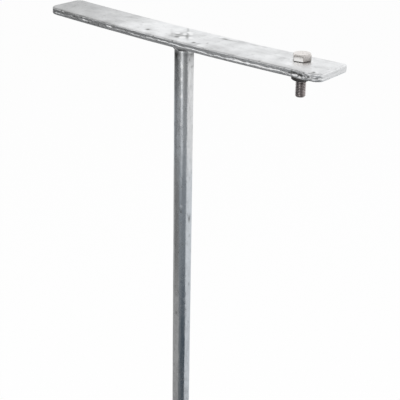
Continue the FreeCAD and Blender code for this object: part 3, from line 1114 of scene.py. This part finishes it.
def hexagon_mesh(name, terminal, turn, outline, corner, easing, ring=False):
    """A hexagon piece. Its outline function is given the radius of the round face, the distance
    to the side and how far the chamfer has come down there."""
    face = ROUND_FACE * terminal.hex_width / 2
    angles = hexagon_angles(turn)
    outlines = [eased(outline(face, reach, (reach - face) * CHAMFER_SLOPE), easing, ring)
                for reach in hexagon_reach(angles, turn, terminal.hex_width, corner)]
    return turned_mesh(name, angles, outlines, ring)


def eased(outline, radius, ring):
    """Replace each corner of an outline by a short bend. Points on the axis stay."""
    points = [Vector(p) for p in outline]
    count = len(points)
    made = []
    for i, corner in enumerate(points):
        if not ring and i in (0, count - 1):
            made.append(tuple(corner))
            continue
        before, after = points[i - 1], points[(i + 1) % count]
        for other, share in ((before, 1.0), (before, 0.4), (after, 0.4), (after, 1.0)):
            away = other - corner
            reach = min(radius, away.length * 0.45)
            made.append(tuple(corner + away.normalized() * reach * share))
        # The two middle points leave the corner a little, as on an arc
        for k in (-3, -2):
            inner = Vector(made[k])
            middle = (Vector(made[-4]) + Vector(made[-1])) / 2
            made[k] = tuple(inner + (middle - inner) * 0.22)
    return made


def head_stain_and_painted_light(points, terminal):
    """The head's sides are darkened, browner on every other side above its lower edge, which has a
    painted highlight along it, a painted reflection of the bar's top. Painted shade fills the
    joint under the head, and the thread's roots are darker, most from just below the nut upwards."""
    reach = np.hypot(points[:, 0], points[:, 1]) / MM
    height = points[:, 2] / MM
    turn = np.arctan2(points[:, 1], points[:, 0]) - terminal.head_turn
    sides_with_painted_glint = np.floor(np.degrees(turn) / 60) % 2 == 1
    patchy = clouds(points, 2, 31)
    side = smooth_step(6.0, 6.4, reach) * smooth_step(4.6, 4.1, height)
    above = smooth_step(1.7, 2.2, height + 0.5 * patchy)
    # Every other side is browner above a painted highlight along its lower edge, a painted
    # reflection of the bar's top, and the other sides are darkened
    grime_and_painted_light = side * np.where(sides_with_painted_glint, 1.3 * above - 1.3 * (1 - above), 0.5 + 0.2 * patchy)
    # Painted shade in the joint under the head
    joint = 0.8 * smooth_step(0.7, 0.45, height) * smooth_step(-0.2, 0.0, height)
    root = smooth_step(3.85, 3.35, reach) * (0.2 + 0.45 * smooth_step(-21, -15.5, height))
    return np.where(height > -0.5, grime_and_painted_light * (1 - joint) + joint, root)


class GROUNDROD_OT_bolt(bpy.types.Operator):
    """Build the hexagon bolt with its chamfered head and its wound thread"""
    bl_idname = "ground_rod.bolt"
    bl_label = "Terminal Bolt"

    def execute(self, context):
        settings = context.scene.ground_rod
        terminal, finish = settings.terminal, settings.finish
        head_steel = stainless("Stainless head", finish, finish.head_steel,
                               amount=0.22, smooth=0.12, rough=0.26)
        thread_steel = stainless("Stainless thread", finish, finish.thread_steel,
                                 amount=0.4, smooth=0.14, rough=0.3)

        def outline(face, reach, drop):
            top = terminal.head_height
            return [(0, top), (face / 2, top), (face, top), (reach, top - drop),
                    (reach, WASHER_FACE_HEIGHT), (WASHER_FACE_RADIUS, WASHER_FACE_HEIGHT),
                    (WASHER_FACE_RADIUS, 0), (0, 0)]

        head = hexagon_mesh("bolt_head", terminal, terminal.head_turn, outline,
                            corner=0.45 * MM, easing=0.22 * MM)
        length = terminal.length + THREAD_INSIDE_HEAD
        turns = length / terminal.pitch + 1
        blank = plain_object("thread_blank", bpy.data.meshes.new("thread_blank"))
        thread = grown_by_nodes(blank, thread_tree(), {
            "Outer radius": terminal.diameter / 2, "Depth": THREAD_DEPTH * terminal.pitch,
            "Pitch": terminal.pitch, "Length": length, "Run-out": 2 * terminal.pitch,
            "Columns": THREAD_SIDES + 1, "Rows": math.ceil(turns * THREAD_ROWS_A_TURN) + 2,
            "Material": thread_steel})
        thread.transform(Matrix.Translation((0, 0, THREAD_INSIDE_HEAD)))
        bolt = boolean(head, thread, "UNION")
        keep_stain_and_painted_light(bolt, head_stain_and_painted_light(coordinates(bolt), terminal))
        seat = seat_matrix(settings)
        bolt.transform(seat @ Matrix.Translation((0, 0, HEAD_GAP)))
        finished_piece("stainless_bolt", bolt, head_steel, "terminal_bolt",
                       sharp=28)
        bolt.materials.append(thread_steel)
        below = (seat @ Vector((0, 0, -1 * MM))).z
        for polygon in bolt.polygons:
            polygon.material_index = int(polygon.center.z < below)
        return {"FINISHED"}


def split_ring(top, bottom, easing):
    """A spring washer: one flattened turn whose ends face each other across a slanting gap."""
    section = eased([(SPRING_BORE, top), (SPRING_REACH, top), (SPRING_REACH, bottom),
                     (SPRING_BORE, bottom)], easing, True)
    count = len(section)
    points = []
    for share in np.linspace(0, 1, SPRING_STEPS + 1):
        for radius, height in section:
            lean = (height - (top + bottom) / 2) * math.tan(SPRING_SLANT) / radius
            half_gap = SPRING_GAP / 2 / radius
            turn = SPRING_DIRECTION + half_gap + lean + (2 * math.pi - 2 * half_gap) * share
            points.append((radius * math.cos(turn), radius * math.sin(turn), height))
    rows = [tuple(range(i * count, (i + 1) * count)) for i in range(SPRING_STEPS + 1)]
    return cleaned(new_mesh("spring_washer", points, bands(rows) + [rows[0], rows[-1]]))


class GROUNDROD_OT_nut_and_washer(bpy.types.Operator):
    """Build the split spring washer and the nut under the bar"""
    bl_idname = "ground_rod.nut_and_washer"
    bl_label = "Nut and Spring Washer"

    def execute(self, context):
        settings = context.scene.ground_rod
        terminal, finish = settings.terminal, settings.finish
        # The nut and the spring washer are given a dark colour, painted shade for their place
        # below the bar
        steel = stainless("Stainless nut in painted shade", finish, finish.nut_steel_in_painted_shade,
                          amount=0.6, smooth=0.22, rough=0.45)
        spring_top = -settings.bar.thickness
        top = spring_top - terminal.spring_thickness
        bottom = top - terminal.nut_height
        bore = terminal.diameter / 2 - PITCH_LINE_DEPTH * terminal.pitch
        sink = (NUT_MOUTH - bore) / NUT_SINK_SLOPE

        def outline(face, reach, drop):
            return [(NUT_MOUTH, top), (face, top), (reach, top - drop), (reach, bottom + drop),
                    (face, bottom), (NUT_MOUTH, bottom), (bore, bottom + sink),
                    (bore, top - sink)]

        spring = split_ring(spring_top, top, easing=0.25 * MM)
        nut = hexagon_mesh("nut", terminal, terminal.nut_turn, outline,
                           corner=0.4 * MM, easing=0.2 * MM, ring=True)
        for name, mesh, solid in (("stainless_spring_washer", spring, "spring_washer"),
                                  ("stainless_nut", nut, "terminal_nut")):
            mesh.transform(seat_matrix(settings))
            finished_piece(name, mesh, steel, solid, sharp=28)
        return {"FINISHED"}


# The stage


def seen_white(tree, camera_share):
    """The share of plain white for rays from the camera, and 1 for those in metal and glass."""
    path = node(tree, "ShaderNodeLightPath").outputs
    camera = Field(tree, path["Is Camera Ray"]) * camera_share
    mirror = Field(tree, path["Is Glossy Ray"]).math("MAXIMUM", path["Is Transmission Ray"])
    return camera.math("MAXIMUM", mirror)


def glowing(name, colour, lit_colour=None, camera_share=0.0):
    """A surface of one plain colour. One with a lit colour too shows that one where neither the
    camera's share nor a reflection takes the plain one."""
    made, tree = blank_material(name)
    made.cycles.emission_sampling = "NONE"
    surface = node(tree, "ShaderNodeEmission", {"Color": colour, "Strength": 1.0})
    if lit_colour is not None:
        lit = node(tree, "ShaderNodeBsdfDiffuse", {"Color": lit_colour})
        surface = node(tree, "ShaderNodeMixShader", {
            0: seen_white(tree, camera_share), 1: lit, 2: surface})
    node(tree, "ShaderNodeOutputMaterial", {"Surface": surface})
    return made


def sheet(name, points, faces, material):
    """A sheet that is not attached to the object."""
    mesh = new_mesh(name, points, faces)
    mesh.materials.append(material)
    made = plain_object(name, mesh)
    return made


def reflected_sheet(name, points, faces, level, blue=0.0):
    """A sheet of one grey that only reflections in metal see."""
    colour = (level * (1 - blue), level, level * (1 + blue), 1.0)
    card = sheet(name, points, faces, glowing(name, colour))
    for others in ("camera", "diffuse", "transmission", "volume_scatter", "shadow"):
        setattr(card, "visible_" + others, False)


def bent_card(number, distance, start, end, bottom, top, level, blue):
    """A grey card bent round the rod."""
    base = math.degrees(math.atan2(CAMERA_PLACE[1], CAMERA_PLACE[0]))
    count = max(2, int((end - start) / DEGREES_A_BEND))
    turns = np.radians(np.linspace(start, end, count) + base)
    points = [(distance * math.cos(t), distance * math.sin(t), z)
              for t in turns for z in (bottom, top)]
    rows = [(2 * i, 2 * i + 1) for i in range(count)]
    reflected_sheet("card_%02d" % number, points, bands(rows, False), level, blue)


class GROUNDROD_OT_stage(bpy.types.Operator):
    """Set up the pale floor, the soft light, the grey cards and the camera"""
    bl_idname = "ground_rod.stage"
    bl_label = "Stage"

    def execute(self, context):
        scene = context.scene
        stage = scene.ground_rod.stage
        scene.view_settings.view_transform = "Standard"

        world = bpy.data.worlds.new("Studio")
        scene.world = world
        world.use_nodes = True
        tree = world.node_tree
        tree.nodes.clear()
        room, white = (node(tree, "ShaderNodeBackground", {"Color": WHITE, "Strength": strength})
                       for strength in (stage.light, 1.0))
        mixed = node(tree, "ShaderNodeMixShader", {0: seen_white(tree, 1.0), 1: room, 2: white})
        node(tree, "ShaderNodeOutputWorld", {"Surface": mixed})

        floor = glowing("Pale floor", WHITE, rgba(stage.floor_colour), stage.floor_white)
        corners = [(x * FLOOR_REACH, y * FLOOR_REACH, FLOOR_LEVEL)
                   for x, y in ((-1, -1), (1, -1), (1, 1), (-1, 1))]
        sheet("floor", corners, [(0, 1, 2, 3)], floor)

        lamp = bpy.data.lights.new("softbox", "AREA")
        lamp.shape = "SQUARE"
        lamp.size = SOFTBOX_SIZE
        lamp.energy = stage.softbox_power
        softbox = plain_object("softbox", lamp)
        softbox.location = SOFTBOX_PLACE
        softbox.visible_glossy = False

        for number, card in enumerate(STUDIO_CARDS):
            bent_card(number, stage.card_distance, *card)
        turns = np.linspace(0, 2 * math.pi, ROUND_CARD_SIDES, endpoint=False)
        for name, (radius, height, level) in ROUND_CARDS.items():
            rim = [(radius * math.cos(t), radius * math.sin(t), height) for t in turns]
            reflected_sheet(name, rim, [tuple(range(ROUND_CARD_SIDES))], level)

        camera = bpy.data.cameras.new("camera")
        camera.sensor_width = 36.0
        camera.lens = stage.lens
        camera.clip_start = 0.01
        right, up = Vector(CAMERA_RIGHT), Vector(CAMERA_UP)
        turn = Matrix((right, up, right.cross(up))).transposed().to_4x4()
        eye = plain_object("camera", camera)
        eye.matrix_world = Matrix.Translation(CAMERA_PLACE) @ turn
        scene.camera = eye
        return {"FINISHED"}


class GROUNDROD_PT_sidebar(bpy.types.Panel):
    bl_label = "Ground Rod"
    bl_idname = "GROUNDROD_PT_sidebar"
    bl_space_type = "VIEW_3D"
    bl_region_type = "UI"
    bl_category = "Ground Rod"

    def draw(self, context):
        for part, *operators in (
                ("rod", GROUNDROD_OT_rod),
                ("bar", GROUNDROD_OT_cross_bar),
                ("weld", GROUNDROD_OT_weld),
                ("terminal", GROUNDROD_OT_bolt, GROUNDROD_OT_nut_and_washer),
                ("finish",),
                ("stage", GROUNDROD_OT_stage)):
            group = getattr(context.scene.ground_rod, part)
            box = self.layout.box()
            box.label(text=part.title())
            for name in group.__annotations__:
                box.prop(group, name)
            for operator in operators:
                box.operator(operator.bl_idname)


CLASSES = (
    BarSettings, RodSettings, WeldSettings, TerminalSettings, FinishSettings, StageSettings,
    GroundRodSettings, GROUNDROD_OT_cross_bar, GROUNDROD_OT_rod, GROUNDROD_OT_weld,
    GROUNDROD_OT_bolt, GROUNDROD_OT_nut_and_washer, GROUNDROD_OT_stage, GROUNDROD_PT_sidebar,
)


def register():
    for each in CLASSES:
        bpy.utils.register_class(each)
    bpy.types.Scene.ground_rod = PointerProperty(type=GroundRodSettings)


def unregister():
    del bpy.types.Scene.ground_rod
    for each in reversed(CLASSES):
        bpy.utils.unregister_class(each)


def main():
    register()
    bpy.ops.ground_rod.stage()
    bpy.ops.ground_rod.cross_bar()
    bpy.ops.ground_rod.rod()
    bpy.ops.ground_rod.weld()
    bpy.ops.ground_rod.bolt()
    bpy.ops.ground_rod.nut_and_washer()


if __name__ == "__main__":
    main()
